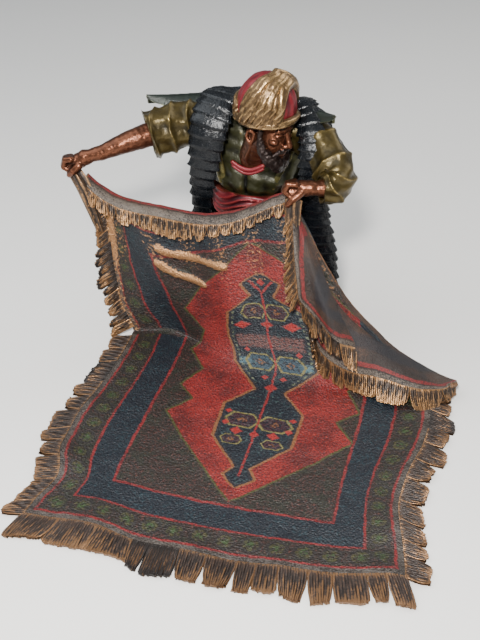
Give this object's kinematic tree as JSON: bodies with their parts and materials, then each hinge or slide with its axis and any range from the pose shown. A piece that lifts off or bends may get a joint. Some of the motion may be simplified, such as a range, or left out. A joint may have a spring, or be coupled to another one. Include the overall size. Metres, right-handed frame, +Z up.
{
  "type": "bronze statuette",
  "caption": "Cold-painted bronze statuette: a turbaned carpet seller kneels and holds up a patterned rug that spreads over the ground before him.",
  "frame": {"origin": "centre of the statuette's bounding box at its base, on the surface it stands on", "axes": "+Z up, -Y towards the rug's near hem (the viewer's side), +X towards the figure's left hand"},
  "size_m": [0.2186, 0.2413, 0.16],
  "materials": {
    "carpet_paint": "cold-painted carpet pattern in red, navy and brown over fine woven texture, satin with worn bare-bronze edges",
    "robe_paint": "dark olive green paint, satin, rubbed to bronze on the folds",
    "sash_paint": "crimson paint, satin, rubbed on the pleats",
    "sleeve_paint": "olive gold bronze paint, semi-gloss",
    "cloak_paint": "near-black navy paint, glossy, in rows of tufts",
    "skin_bronze": "coppery patinated bronze, burnished on the high places",
    "turban_paint": "gold-brown wrap over a red cap, semi-gloss",
    "leather_paint": "dark red-brown paint, satin",
    "stud_brass": "plain turned brass"
  },
  "bodies": {
    "root": {"rug_floor_panel": "carpet_paint", "rug_hanging_panel": "carpet_paint", "rug_corner_fold": "carpet_paint", "lower_body": "robe_paint", "torso": "robe_paint", "sash": "sash_paint", "right_sleeve": "sleeve_paint", "left_sleeve": "sleeve_paint", "cloak_back": "cloak_paint", "cloak_right_front": "cloak_paint", "cloak_left_front": "cloak_paint", "head": "skin_bronze", "right_arm": "skin_bronze", "left_arm": "skin_bronze", "turban": "turban_paint", "right_slipper": "leather_paint", "left_slipper": "leather_paint", "waist_stud": "stud_brass", "waist_nut": "stud_brass", "neck_stud": "stud_brass", "turban_stud": "stud_brass", "right_shoulder_stud": "stud_brass", "left_shoulder_stud": "stud_brass", "right_hand_pin": "stud_brass", "left_hand_pin": "stud_brass", "right_slipper_pin": "stud_brass", "left_slipper_pin": "stud_brass", "right_tie_screw": "stud_brass", "left_tie_screw": "stud_brass", "seam_pin_1": "stud_brass", "seam_pin_2": "stud_brass", "seam_pin_3": "stud_brass", "seam_pin_4": "stud_brass"}
  },
  "joints": []
}
